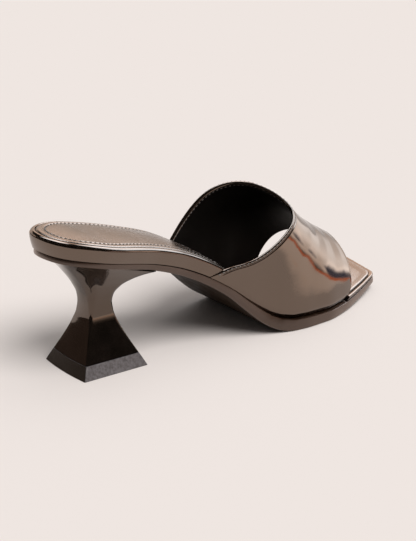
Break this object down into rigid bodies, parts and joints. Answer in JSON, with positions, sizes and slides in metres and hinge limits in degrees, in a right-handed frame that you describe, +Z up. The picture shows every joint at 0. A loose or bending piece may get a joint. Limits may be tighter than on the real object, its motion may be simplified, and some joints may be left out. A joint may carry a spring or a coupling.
{
  "type": "heeled mule",
  "caption": "Open square-toed mule with a wide glossy vamp band over a curved footbed and a sculpted pyramid heel.",
  "frame": {"origin": "on the floor, under the centre of the box round the shoe", "axes": "+X from heel to toe, +Y to the wearer's inner side, +Z up"},
  "size_m": [0.2442, 0.0816, 0.0776],
  "materials": {
    "patent_leather": "gloss",
    "insole_leather": "satin",
    "heel_lacquer": "gloss",
    "outsole_rubber": "satin",
    "top_piece_rubber": "matte"
  },
  "bodies": {
    "root": {"outsole": "outsole_rubber", "midsole": "patent_leather", "insole": "insole_leather", "upper": "patent_leather", "heel": "heel_lacquer", "top_piece": "top_piece_rubber"}
  },
  "joints": []
}
